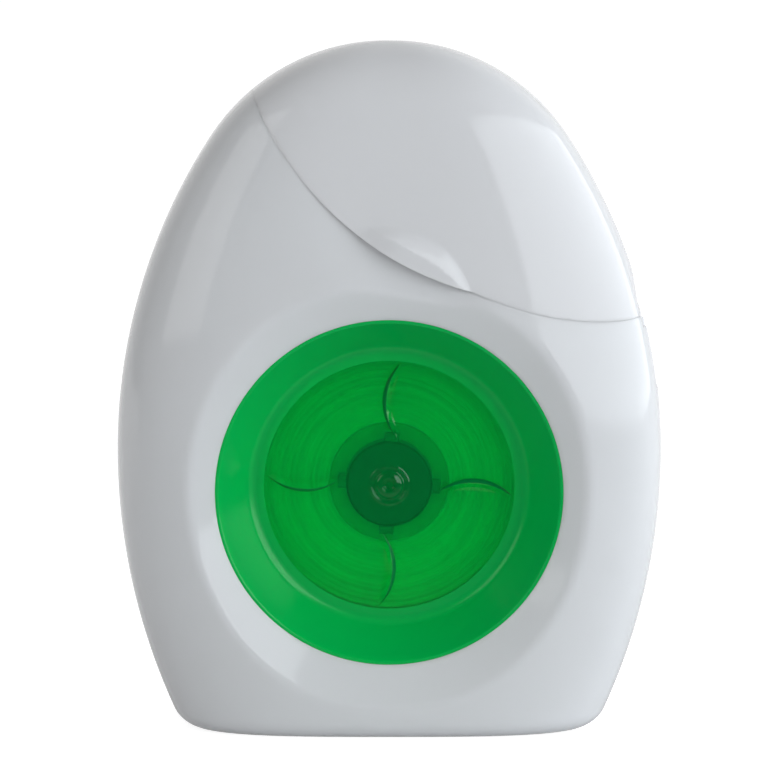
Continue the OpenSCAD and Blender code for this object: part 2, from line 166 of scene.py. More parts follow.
tree.links.new(in_gloss.outputs[0], reflection_mix.inputs[0])
tree.links.new(paper_mix.outputs[0], reflection_mix.inputs[1])
tree.links.new(reflected.outputs[0], reflection_mix.inputs[2])
tree.links.new(reflection_mix.outputs[0], output.inputs["Surface"])
sweep_mesh = bpy.data.meshes.new("sweep")
bm = bmesh.new()
bmesh.ops.create_grid(bm, x_segments=2, y_segments=2, size=sweep_size)
bmesh.ops.translate(bm, verts=bm.verts, vec=(0, 0, -sweep_drop))
bm.to_mesh(sweep_mesh)
bm.free()
sweep = bpy.data.objects.new("sweep", sweep_mesh)
sweep_mesh.materials.append(sweep_white)
bpy.context.scene.collection.objects.link(sweep)

# Front shell: the white front half of the egg-shaped case, moulded in glossy polypropylene, with a
# round dished opening for the window, a finger dish under the lid and a seat for the hinge strap.
# Its form is a stack of squared ovals, whose widths and thicknesses follow arcs.
mm = 0.001
front_low, front_high = (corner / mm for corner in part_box("front_shell"))
case_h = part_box("lid")[1].z / mm
case_half_w = (front_high.x - front_low.x) / 2
rear_half_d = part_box("rear_shell")[1].y / mm
wide_z, top_r, flank_low_r = 25.0, 19.3, 57.0
front_half_d, thick_z, top_side_r, base_half_d = 11.0, 22.5, 7.5, 9.9
squareness = 3.2
base_round = 1.6
wall, edge_round, weld = 1.6, 0.03, 0.03
seam_left, seam_right, seam_r = (15.3, 69.4), (20.4, 67.5), 30.0
seam_gap, hinge_gap, hinge_gap_from, hinge_gap_run = 0.004, 0.03, 20, 3
window_low, window_high = (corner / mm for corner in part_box("window"))
window_z = (window_low.z + window_high.z) / 2
rim_y = -window_low.y
rim_r, rim_lap = 15.6, 0.01
dish_slope, dish_reach, dish_soft = 0.42, 24, 0.22
scoop_left, scoop_right, scoop_reach, scoop_depth = -3.6, 6.6, 6.0, 0.75
scoop_left_run, scoop_right_run = 5.2, 2.8
strap_low, strap_high = (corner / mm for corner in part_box("hinge_strap"))
strap_half = strap_high.y
strap_out, strap_t, seat_gap, seat_round = 0.4, 0.7, 0.1, 0.06
lid_flat_half, notch_down = 4.3, 0.35
flank_from, notch_from, on_line = 18, 35, 0.02
front_face = -5.0

top_c = case_h - top_r
flank_r = (case_half_w**2 + (top_c - wide_z) ** 2 - top_r**2) / (2 * (case_half_w - top_r))
flank_x = case_half_w - flank_r
flank_turn = math.atan2(top_c - wide_z, -flank_x)
side_c = case_h - top_side_r


def half_width(z):
    """Half of the case's width at height z, from the arcs of its front outline."""
    if z < wide_z:
        return case_half_w - flank_low_r + math.sqrt(flank_low_r**2 - (z - wide_z) ** 2)
    if z < top_c + top_r * math.sin(flank_turn):
        return flank_x + math.sqrt(flank_r**2 - (z - wide_z) ** 2)
    return math.sqrt(max(0.0, top_r**2 - (z - top_c) ** 2))


def half_depth(z, half_d):
    """Distance of the front or rear face from the parting plane at height z, from its outline's arcs."""
    sink = half_d * (1 - base_half_d / front_half_d)
    low_r = (thick_z**2 + sink**2) / (2 * sink)
    side_r = (half_d**2 + (side_c - thick_z) ** 2 - top_side_r**2) / (2 * (half_d - top_side_r))
    if z < thick_z:
        return half_d - low_r + math.sqrt(low_r**2 - (z - thick_z) ** 2)
    if z < side_c + top_side_r * math.sin(math.atan2(side_c - thick_z, side_r - half_d)):
        return half_d - side_r + math.sqrt(side_r**2 - (z - thick_z) ** 2)
    return math.sqrt(max(0.0, top_side_r**2 - (z - side_c) ** 2))


def on_form(co, draw=0.0):
    """The point of the case's form, drawn in by that much, that lies outwards of co at its height."""
    w = half_width(co.z) - draw
    d = half_depth(co.z, front_half_d if co.y < 0 else rear_half_d) - draw
    if w < 1e-6 or d < 1e-6:
        return Vector((0, 0, co.z))
    reach = ((abs(co.x) / w) ** squareness + (abs(co.y) / d) ** squareness) ** (1 / squareness)
    return Vector((co.x / reach, co.y / reach, co.z))


def form_mesh():
    """The whole closed form, in rings that are close together by the top's pole and run down the sides,
    round the foot and under the base."""
    sides, top_rings, side_rings, foot_rings, base_rings = 320, 168, 78, 8, 10
    corner_crowding = 0.2
    bm = bmesh.new()
    rings = top_rings + side_rings + foot_rings + base_rings
    bmesh.ops.create_uvsphere(bm, u_segments=sides, v_segments=rings, radius=1)
    for v in bm.verts:
        k = round(math.acos(max(-1.0, min(1.0, v.co.z))) / math.pi * rings)
        side = k - top_rings
        foot = side - side_rings
        base = foot - foot_rings
        draw, share = 0.0, 1.0
        if side <= 0:
            z = wide_z + (case_h - wide_z) * math.cos(math.pi / 2 * k / top_rings)
        elif foot <= 0:
            z = wide_z + (base_round - wide_z) * side / side_rings
        else:
            turn = math.pi / 2 * min(1.0, foot / foot_rings)
            z = base_round * (1 - math.sin(turn))
            draw = base_round * (1 - math.cos(turn))
            share = 1 - max(0, base) / base_rings
        angle = math.atan2(v.co.y, v.co.x)
        angle += corner_crowding * math.sin(2 * angle)
        w, d = half_width(z), half_depth(z, front_half_d)
        spot = on_form(Vector((w * math.cos(angle), d * math.sin(angle), z)), draw)
        v.co = Vector((spot.x * share, spot.y * share, z)) if 0 < k < rings else Vector((0, 0, z))
    return bm


def disc_level(x, z, r):
    """Signed distance from a circle in the front view, below nought inside it."""
    return lambda co: math.hypot(co.x - x, co.z - z) - r


def seam_level(co):
    """Signed distance from the lid's seam, below nought on the lid's side."""
    return min(math.hypot(co.x - x, co.z - z) for x, z in (seam_left, seam_right)) - seam_r


def lid_edge(co):
    """The same from the lid's edge, whose gap to the case widens towards the hinge."""
    near_hinge = max(0.0, min(1.0, (co.x - hinge_gap_from) / hinge_gap_run))
    return seam_level(co) + seam_gap + (hinge_gap - seam_gap) * near_hinge**2


def settle(co, level):
    """Slides a point over the form until it lies on the line where level is nought."""
    step = 0.01
    for _ in range(6):
        here = level(co)
        slope = Vector([(level(co + step * Vector(axis)) - here) / step
                        for axis in ((1, 0, 0), (0, 1, 0), (0, 0, 1))])
        if slope.length < 1e-6:
            break
        co = on_form(co - slope * (here / slope.length_squared))
    return co


def imprint(bm, level, near=0.1, within=lambda co: True):
    """Draws the line where level is nought into the mesh: corners close to it slide onto it, and edges
    that still cross it are cut there."""
    value = {v: level(v.co) for v in bm.verts if within(v.co)}
    for v in value:
        if abs(value[v]) < near:
            v.co = settle(v.co, level)
            value[v] = 0.0
    for e in [e for e in bm.edges if e.verts[0] in value and e.verts[1] in value]:
        a, b = e.verts
        if value[a] * value[b] < 0:
            cut = bmesh.utils.edge_split(e, a, value[a] / (value[a] - value[b]))[1]
            cut.co = settle(cut.co, level)
            value[cut] = 0.0
    bmesh.ops.connect_verts(bm, verts=[v for v in value if value[v] == 0.0])


def keep_faces(bm, wanted):
    """Deletes every face whose middle isn't wanted."""
    lost = [f for f in bm.faces if not wanted(f.calc_center_median())]
    bmesh.ops.delete(bm, geom=lost, context="FACES")


def deeper(a, b, soft):
    """The smaller of two depths, rounded over where they meet."""
    share = max(0.0, min(1.0, 0.5 + 0.5 * (b - a) / soft))
    return b * (1 - share) + a * share - soft * share * (1 - share)


def smooth(start, end, value):
    """Nought at start and one at end, with an easy turn at both."""
    t = max(0.0, min(1.0, (value - start) / (end - start)))
    return t * t * (3 - 2 * t)


def strap_seat_level(grow):
    """Signed distance from the outline of the strap's seat on the right flank, below nought inside it."""
    return lambda co: max(abs(co.y) - strap_half - grow, strap_low.z - grow - co.z)


def seat_strap(v, level):
    """Sinks a corner that lies in the strap's seat or in the room for the lid's flat."""
    if v.co.x < flank_from:
        return
    if level(v.co) < -on_line:
        v.co.x -= strap_out + strap_t + seat_gap
    elif abs(v.co.y) < lid_flat_half - on_line and v.co.z > strap_high.z - notch_down:
        v.co.x -= strap_out + strap_t


def piece(name, bm, material, body, slot, *nodes, solid=0.0, soft_edge=0.0, sharp=35, flat_ends=False):
    """Makes the object from a mesh in millimetres, gives it its wall, soft edges and shading, and lets it
    ride on its body. Flat ends keep faces square to the parting plane unshaded by their fillets."""
    bmesh.ops.scale(bm, vec=(mm, mm, mm), verts=bm.verts)
    mesh = bpy.data.meshes.new(name)
    bm.to_mesh(mesh)
    bm.free()
    obj = bpy.data.objects.new(name, mesh)
    bpy.context.scene.collection.objects.link(obj)
    corner_angle = 50
    if solid:
        wall_maker = obj.modifiers.new("wall", "SOLIDIFY")
        wall_maker.thickness = solid * mm
        wall_maker.offset = -1
    if soft_edge:
        rounder = obj.modifiers.new("soft_edges", "BEVEL")
        rounder.width = soft_edge * mm
        rounder.segments = 2
        rounder.limit_method = "ANGLE"
        rounder.angle_limit = math.radians(corner_angle)
    made = bpy.data.meshes.new_from_object(obj.evaluated_get(bpy.context.evaluated_depsgraph_get()))
    obj.modifiers.clear()
    obj.data = made
    bpy.data.meshes.remove(mesh)
    made.name = name
    bm = bmesh.new()
    bm.from_mesh(made)
    for f in bm.faces:
        f.smooth = not (flat_ends and abs(f.normal.y) > 0.99999)
    for e in bm.edges:
        e.smooth = len(e.link_faces) != 2 or e.calc_face_angle() < math.radians(sharp)
    bm.to_mesh(made)
    bm.free()
    made.materials.clear()
    made.materials.append(material)
    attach(obj, body)
    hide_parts(*nodes)
    return obj


def add_sockets(tree, inputs, outputs):
    """Names the inputs, with their values, and the outputs of a node group."""
    for name, kind, value in inputs:
        socket = tree.interface.new_socket(name, in_out="INPUT", socket_type=kind)
        socket.default_value = value
    for name, kind in outputs:
        tree.interface.new_socket(name, in_out="OUTPUT", socket_type=kind)
    return tree.nodes.new("NodeGroupInput"), tree.nodes.new("NodeGroupOutput")


def moulded_skin():
    """Node group for moulded plastic: a faint cloud in the tone, a polish that varies, and the slight
    waviness and fine grain that a tool leaves in the skin."""
    tree = bpy.data.node_groups.new("moulded_skin", "ShaderNodeTree")
    given, put = add_sockets(
        tree,
        [("Color", "NodeSocketColor", (1, 1, 1, 1)), ("Cloud", "NodeSocketFloat", 0.03),
         ("Polish", "NodeSocketFloat", 0.2)],
        [("Color", "NodeSocketColor"), ("Roughness", "NodeSocketFloat"), ("Height", "NodeSocketFloat")])
    place = tree.nodes.new("ShaderNodeTexCoord")
    cloud = tree.nodes.new("ShaderNodeTexNoise")
    cloud.inputs["Scale"].default_value = 45
    cloud.inputs["Detail"].default_value = 3
    tree.links.new(place.outputs["Object"], cloud.inputs["Vector"])
    shade = tree.nodes.new("ShaderNodeHueSaturation")
    level = tree.nodes.new("ShaderNodeMapRange")
    low = tree.nodes.new("ShaderNodeMath")
    low.operation = "SUBTRACT"
    low.inputs[0].default_value = 1.0
    tree.links.new(given.outputs["Cloud"], low.inputs[1])
    tree.links.new(cloud.outputs["Fac"], level.inputs["Value"])
    tree.links.new(low.outputs[0], level.inputs["To Min"])
    level.inputs["From Min"].default_value = 0.35
    level.inputs["From Max"].default_value = 0.65
    tree.links.new(level.outputs["Result"], shade.inputs["Value"])
    tree.links.new(given.outputs["Color"], shade.inputs["Color"])
    tree.links.new(shade.outputs["Color"], put.inputs["Color"])
    rub = tree.nodes.new("ShaderNodeTexNoise")
    rub.inputs["Scale"].default_value = 320
    rub.inputs["Detail"].default_value = 4
    tree.links.new(place.outputs["Object"], rub.inputs["Vector"])
    polish = tree.nodes.new("ShaderNodeMath")
    polish.operation = "MULTIPLY_ADD"
    polish.inputs[1].default_value = 0.08
    tree.links.new(rub.outputs["Fac"], polish.inputs[0])
    tree.links.new(given.outputs["Polish"], polish.inputs[2])
    tree.links.new(polish.outputs[0], put.inputs["Roughness"])
    wave = tree.nodes.new("ShaderNodeTexNoise")
    wave.inputs["Scale"].default_value = 220
    wave.inputs["Detail"].default_value = 1
    tree.links.new(place.outputs["Object"], wave.inputs["Vector"])
    tree.links.new(wave.outputs["Fac"], put.inputs["Height"])
    return tree


skin = moulded_skin()
wave_height, soak_depth = 0.004, 1.2


def plastic(name, colour, polish, cloud=0.03, gloss=0.5, clear=0.0, milky=0.0):
    """Moulded plastic in one colour under a polished skin: opaque, milky so that light soaks through its
    walls, or clear so that it shows what is behind it."""
    material, tree, output = new_material(name)
    surface = tree.nodes.new("ShaderNodeBsdfPrincipled")
    surface.inputs["IOR"].default_value = 1.49
    surface.inputs["Specular IOR Level"].default_value = gloss
    surface.inputs["Transmission Weight"].default_value = clear
    surface.inputs["Subsurface Weight"].default_value = milky
    surface.inputs["Subsurface Radius"].default_value = (1, 1, 1)
    surface.inputs["Subsurface Scale"].default_value = soak_depth * mm
    group = tree.nodes.new("ShaderNodeGroup")
    group.node_tree = skin
    group.inputs["Color"].default_value = (*colour, 1)
    group.inputs["Cloud"].default_value = cloud
    group.inputs["Polish"].default_value = polish
    bump = tree.nodes.new("ShaderNodeBump")
    bump.inputs["Strength"].default_value = 0.35
    bump.inputs["Distance"].default_value = wave_height * mm
    tree.links.new(group.outputs["Color"], surface.inputs["Base Color"])
    tree.links.new(group.outputs["Roughness"], surface.inputs["Roughness"])
    tree.links.new(group.outputs["Height"], bump.inputs["Height"])
    tree.links.new(bump.outputs["Normal"], surface.inputs["Normal"])
    if clear == 0:
        tree.links.new(surface.outputs["BSDF"], output.inputs["Surface"])
        return material
    lamp_light = tree.nodes.new("ShaderNodeBsdfTransparent")
    lamp_light.inputs["Color"].default_value = (*(math.sqrt(c) for c in colour), 1)
    path = tree.nodes.new("ShaderNodeLightPath")
    let_through = tree.nodes.new("ShaderNodeMixShader")
    tree.links.new(path.outputs["Is Shadow Ray"], let_through.inputs[0])
    tree.links.new(surface.outputs["BSDF"], let_through.inputs[1])
    tree.links.new(lamp_light.outputs["BSDF"], let_through.inputs[2])
    tree.links.new(let_through.outputs[0], output.inputs["Surface"])
    return material


case_white = plastic("case_white", (0.69, 0.70, 0.71), 0.05, milky=0.4)

form = form_mesh()
case = form.copy()
imprint(case, seam_level)
keep_faces(case, lambda co: seam_level(co) > 0)
seat_line = strap_seat_level(seat_gap)
for grow in (seat_gap, seat_gap + seat_round):
    imprint(case, strap_seat_level(grow), near=0.02, within=lambda co: co.x > flank_from)
imprint(case, lambda co: abs(co.y) - lid_flat_half, near=0.05,
        within=lambda co: co.x > flank_from and co.z > notch_from)
front = case.copy()
keep_faces(front, lambda co: co.y < 0)
opening = disc_level(0, window_z, rim_r - rim_lap)
imprint(front, opening, near=0.12)
keep_faces(front, lambda co: opening(co) > 0)
for v in front.verts:
    seat_strap(v, seat_line)
    if v.co.y < front_face:
        along = (smooth(scoop_left - scoop_left_run, scoop_left + scoop_left_run, v.co.x)
                 * smooth(scoop_right + scoop_right_run, scoop_right - scoop_right_run, v.co.x))
        depth = -v.co.y - scoop_depth * along * smooth(scoop_reach, 0, seam_level(v.co))
        r = math.hypot(v.co.x, v.co.z - window_z)
        if r < dish_reach:
            depth = deeper(depth, rim_y + dish_slope * (r - rim_r), dish_soft)
        v.co.y = -depth
bmesh.ops.remove_doubles(front, verts=front.verts, dist=weld)
piece("front_half_of_case", front, case_white, "case", "case_white", "front_shell", solid=wall,
      soft_edge=edge_round)

# Rear shell: the plain white back half of the case, moulded in the same plastic, which snaps to the
# front half along the parting line. It has the other half of the strap's seat.
rear = case.copy()
case.free()
keep_faces(rear, lambda co: co.y > 0)
for v in rear.verts:
    seat_strap(v, seat_line)
bmesh.ops.remove_doubles(rear, verts=rear.verts, dist=weld)
piece("rear_half_of_case", rear, case_white, "case", "case_white", "rear_shell", solid=wall,
      soft_edge=edge_round)

# Lid: the white flip lid over the top right, moulded with its hinge, and with a thumb lip that is
# two facets which meet in a ridge and run out to a point at its lower edge.
lid_wall = 1.4
lip_x, lip_z, lip_r, lip_draw = 0.0, 38.9, 7.5, 0.55
lip_start, lip_full, lip_run = -3.8, 1.2, 1.2
ridge_x, ridge_z, ridge_r = -17.65, 11.4, 38.2
lip_depth = 10.14
lid_flat_low, lid_flat_high = 38.0, 42.0
lid_white = plastic("lid_white", (0.70, 0.705, 0.715), 0.05, milky=0.4)

lid = form
imprint(lid, lid_edge)
keep_faces(lid, lambda co: lid_edge(co) < 0)


def crease(co):
    """Signed distance from the lip's upper outline, an arc drawn out to the left, below nought inside."""
    return math.hypot(co.x * (1 if co.x > lip_x else lip_draw), co.z - lip_z) - lip_r


ridge = disc_level(ridge_x, ridge_z, ridge_r)
imprint(lid, crease, near=0.02, within=lambda co: co.y < 0)
imprint(lid, ridge, near=0.02, within=lambda co: co.y < 0 and crease(co) < 0.01)
imprint(lid, lambda co: abs(co.y) - lid_flat_half, near=0.05,
        within=lambda co: co.x > flank_from and co.z < lid_flat_high)


def on_lip(co):
    """Depth of the thumb lip at a place inside its crease."""
    inside, above = -crease(co), ridge(co)
    surface = -on_form(co).y
    top = surface + (lip_depth - surface) * smooth(lip_start, lip_full, co.x) * smooth(0, lip_run, inside)
    if above > 0:
        return surface + (top - surface) * inside / (inside + above + 1e-6)
    return top


lip = {v: on_lip(v.co) for v in lid.verts if v.co.y < front_face and crease(v.co) < -0.001}
for v, depth in lip.items():
    v.co.y = -depth
for v in lid.verts:
    if v.co.x > flank_from and abs(v.co.y) < lid_flat_half - on_line:
        v.co.x -= strap_out * smooth(lid_flat_high, lid_flat_low, v.co.z)
bmesh.ops.remove_doubles(lid, verts=lid.verts, dist=weld)
piece("flip_lid", lid, lid_white, "lid", "lid_white", "lid", solid=lid_wall, soft_edge=edge_round)

# Window: the clear green bowl that closes the spool's room, moulded in one with four crescent fins and
# a dimpled pip in a ring, and held by its flange behind the front shell's seat.
window_green = plastic("window_green", (0.0, 0.68, 0.165), 0.04, cloud=0.02, clear=0.88)
window_wall_green = plastic("window_wall_green", (0.0, 0.60, 0.115), 0.16, cloud=0.02, gloss=0.3,
                            clear=0.35)
# Painted shade: the fins' outer slopes get a dark opaque green that stands in for the dark line which
# refraction at the clear ridges' steep sides shows.
fin_painted_shade_green = plastic("fin_painted_shade_green", (0.0, 0.2, 0.05), 0.2, cloud=0.02)
foot_r, clear_r, bowl_depth = 12.55, 11.3, 4.7
flange_r = window_high.x
flange_back = window_high.y
seat_y = 2.0 - rim_y
panel_y = bowl_depth - rim_y
flange_t, bowl_wall = 2.9, 0.9
pip_r, pip_top_r, pip_h = 1.2, 0.62, 0.3
dimple_r, dimple_sink = 0.42, 0.1
shoulder_in, shoulder_h = 0.1, 0.16
pip_ring_r, ring_h, ring_w, ring_slope, groove_sink = 1.62, 0.06, 0.14, 0.12, 0.05
rim_w, rim_sink = 0.3, 0.02
fin_root, fin_tip, fin_bow, fin_lead, fin_w, fin_h = 4.35, 11.2, 1.5, 0.43, 1.1, 0.45
fin_turn, fin_full = math.radians(3.5), 0.75


def softened(corners, steps=4):
    """Outline through corners of (radius, y, fillet), with each fillet drawn as a curve."""
    points = []
    for i, (r, y, fillet) in enumerate(corners):
        here = Vector((r, y))
        if fillet == 0 or i in (0, len(corners) - 1):
            points.append(here)
            continue
        before = (Vector(corners[i - 1][:2]) - here).normalized()
        after = (Vector(corners[i + 1][:2]) - here).normalized()
        for k in range(steps + 1):
            t = k / steps
            points.append(here + fillet * ((1 - t) ** 2 * before + t**2 * after))
    return points


def turned(corners, z, steps):
    """A closed body turned from that outline about an axis along Y at height z."""
    bm = bmesh.new()
    loop = [bm.verts.new((p.x, p.y, 0)) for p in softened(corners)]
    edges = [bm.edges.new(pair) for pair in zip(loop, loop[1:])]
    bmesh.ops.spin(bm, geom=loop + edges, cent=(0, 0, 0), axis=(0, 1, 0), angle=2 * math.pi,
                   steps=steps, use_merge=True)
    bmesh.ops.remove_doubles(bm, verts=bm.verts, dist=1e-4)
    bmesh.ops.recalc_face_normals(bm, faces=bm.faces)
    bmesh.ops.translate(bm, verts=bm.verts, vec=(0, 0, z))
    return bm


def arc_r(half, bow):
    """Radius of the arc that bows by that much over half its chord."""
    return (half**2 + bow**2) / (2 * bow)


def joined(name, bm, others):
    """Fuses closed bodies into one mesh."""
    base = bpy.data.objects.new(name, bpy.data.meshes.new(name))
    bpy.context.scene.collection.objects.link(base)
    bm.to_mesh(base.data)
    tools = []
    for other in others:
        tool = bpy.data.objects.new("tool", bpy.data.meshes.new("tool"))
        other.to_mesh(tool.data)
        bpy.context.scene.collection.objects.link(tool)
        fuse = base.modifiers.new("fuse", "BOOLEAN")
        fuse.operation = "UNION"
        fuse.solver = "EXACT"
        fuse.object = tool
        tools.append(tool)
    made = bpy.data.meshes.new_from_object(base.evaluated_get(bpy.context.evaluated_depsgraph_get()))
    fused = bmesh.new()
    fused.from_mesh(made)
    for obj in [base, *tools]:
        bpy.data.objects.remove(obj)
    return fused


window = turned([
    (0, panel_y + dimple_sink, 0), (dimple_r, panel_y + dimple_sink, 0.1),
    (pip_top_r, panel_y - pip_h, 0.15), (pip_r - shoulder_in, panel_y - shoulder_h, 0.12),
    (pip_r + ring_slope, panel_y + groove_sink, 0.08),
    (pip_ring_r - ring_slope, panel_y + groove_sink, 0.05), (pip_ring_r, panel_y - ring_h, 0.05),
    (pip_ring_r + ring_w, panel_y - ring_h, 0.05), (pip_ring_r + ring_w + ring_slope, panel_y, 0.05),
    (clear_r, panel_y, 0), (foot_r, panel_y, 0.6), (rim_r - rim_w, rim_sink - rim_y, 0.12),
    (rim_r, rim_sink - rim_y, 0.05), (rim_r, seat_y, 0.05), (flange_r, seat_y, 0.15),
    (flange_r, flange_back - flange_t, 0.15), (rim_r - bowl_wall, flange_back - flange_t, 0.4),
    (foot_r + 0.4, flange_back, 0.5), (0, flange_back, 0)], window_z, steps=192)
fin_profile = [(0, -0.5), (0, 0), (0.1, 0.5), (0.22, 0.9), (0.3, 1),
               (0.42, 0.85), (0.6, 0.5), (0.78, 0.22), (1, 0), (1, -0.5)]
fins = []
for quarter in range(4):
    angle = math.pi / 2 * quarter - fin_turn
    out = Vector((math.cos(angle), 0, math.sin(angle)))
    bulge = Vector((-out.z, 0, out.x))
    half = (fin_tip - fin_root) / 2
    fin = bmesh.new()
    bmesh.ops.create_grid(fin, x_segments=32, y_segments=len(fin_profile) - 1, size=1)
    for v in fin.verts:
        across, height = fin_profile[round((v.co.y + 1) / 2 * (len(fin_profile) - 1))]
        along = v.co.x * half
        outer, inner = (math.sqrt(arc_r(half, bow) ** 2 - along**2) - arc_r(half, bow) + bow
                        for bow in (fin_bow, fin_bow - fin_w))
        rise = outer + (inner - outer) * across
        full = smooth(1.0, fin_full, abs(v.co.x)) if height > 0 else 1.0
        v.co = out * (fin_root + half + along) + bulge * (rise - fin_lead)
        v.co += Vector((0, panel_y - fin_h * height * full, window_z))
    bmesh.ops.remove_doubles(fin, verts=fin.verts, dist=1e-4)
    bmesh.ops.holes_fill(fin, edges=[e for e in fin.edges if e.is_boundary])
    bmesh.ops.recalc_face_normals(fin, faces=fin.faces)
    fins.append(fin)
window = joined("window_body", window, fins)
spool_window = piece("spool_window", window, window_green, "case", "window_green", "window", sharp=40,
                     flat_ends=True)
spool_window.data.materials.append(window_wall_green)
spool_window.data.materials.append(fin_painted_shade_green)
# Faces on the fins' outward slopes take the third slot, the painted shade of their dark edge line.
fin_painted_shade_zone, outward = (3, fin_tip + 0.1), 0.25
for f in spool_window.data.polygons:
    spot = Vector((f.center.x, 0, f.center.z - window_z * mm)) / mm
    if spot.length > clear_r:
        f.material_index = 1
    if fin_painted_shade_zone[0] < spot.length < fin_painted_shade_zone[1] and f.center.y < (panel_y - on_line) * mm:
        quarter = round((math.atan2(spot.z, spot.x) + fin_turn) / (math.pi / 2))
        angle = math.pi / 2 * quarter - fin_turn
        if f.normal.dot(Vector((-math.sin(angle), 0, math.cos(angle)))) > outward:
            f.material_index = 2

# Spindle: the dark green post behind the window's panel, moulded in one with the four lugs that keep
# the core on its hub. Its hollow pin sits in the rear shell.
spindle_green = plastic("spindle_green", (0.002, 0.07, 0.015), 0.25, cloud=0.06)
hub_r, lug_r, lug_w, lug_l, pin_r = 3.9, 4.65, 1.35, 0.85, 2.5
spindle_low, spindle_high = (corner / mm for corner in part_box("spindle"))
pin_l, pin_wall, hub_front_t = 1.5, 1, 1.2
hub_back, bore_end = spindle_high.y - pin_l, spindle_low.y + hub_front_t
lug_y, lug_block, lug_round = flange_back + 0.05, 1.6, 0.12
post = turned([
    (0, spindle_low.y, 0), (hub_r, spindle_low.y, 0.3), (hub_r, hub_back, 0.1), (pin_r, hub_back, 0.1),
    (pin_r, spindle_high.y, 0.2), (pin_r - pin_wall, spindle_high.y, 0.1),
    (pin_r - pin_wall, bore_end, 0.2), (0, bore_end, 0)], window_z, steps=96)
lugs = []
for quarter in range(4):
    lug = bmesh.new()
    bmesh.ops.create_cube(lug, size=1)
    bmesh.ops.scale(lug, vec=(lug_block, lug_l, lug_w), verts=lug.verts)
    bmesh.ops.bevel(lug, geom=lug.edges[:], offset=lug_round, segments=2, profile=0.5, affect="EDGES",
                    material=-1)
    bmesh.ops.translate(lug, verts=lug.verts, vec=(lug_r - lug_block / 2, lug_y + lug_l / 2, 0))
    bmesh.ops.rotate(lug, verts=lug.verts, cent=(0, 0, 0),
                     matrix=Matrix.Rotation(math.pi / 2 * quarter + fin_turn, 3, "Y"))
    bmesh.ops.translate(lug, verts=lug.verts, vec=(0, 0, window_z))
    lugs.append(lug)
post = joined("spindle_body", post, lugs)
piece("spindle_post", post, spindle_green, "case", "spindle_green", "spindle", sharp=40,
      flat_ends=True)

# Spool: a card tube wound full of waxed white floss, which turns on the hub. The roll's faces show the
# rings of its layers, and its last layer lies in close turns.
core_low, core_high = (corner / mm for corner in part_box("bobbin_core"))
roll_low, roll_high = (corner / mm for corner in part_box("floss_roll"))
turns_low, turns_high = (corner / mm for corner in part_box("floss_turns"))
core_out_r, core_in_r = core_high.x, 3.98
roll_r, roll_mid_y = roll_high.x, 2.8
floss_d = 0.46


def card_paper():
    """Spiral-wound card: a warm brown with paper fibres and a dull face."""
    material, tree, output = new_material("core_card")
    surface = tree.nodes.new("ShaderNodeBsdfPrincipled")
    place = tree.nodes.new("ShaderNodeTexCoord")
    fibre = tree.nodes.new("ShaderNodeTexNoise")
    fibre.inputs["Scale"].default_value = 2600
    fibre.inputs["Detail"].default_value = 5
    tone = tree.nodes.new("ShaderNodeValToRGB")
    tone.color_ramp.elements[0].color = (0.55, 0.36, 0.16, 1)
    tone.color_ramp.elements[1].color = (0.78, 0.52, 0.28, 1)
    bump = tree.nodes.new("ShaderNodeBump")
    bump.inputs["Strength"].default_value = 0.5
    bump.inputs["Distance"].default_value = 0.03 * mm
    tree.links.new(place.outputs["Object"], fibre.inputs["Vector"])
    tree.links.new(fibre.outputs["Fac"], tone.inputs["Fac"])
    tree.links.new(tone.outputs["Color"], surface.inputs["Base Color"])
    tree.links.new(fibre.outputs["Fac"], bump.inputs["Height"])
    tree.links.new(bump.outputs["Normal"], surface.inputs["Normal"])
    surface.inputs["Roughness"].default_value = 0.85
    tree.links.new(surface.outputs["BSDF"], output.inputs["Surface"])
    return material


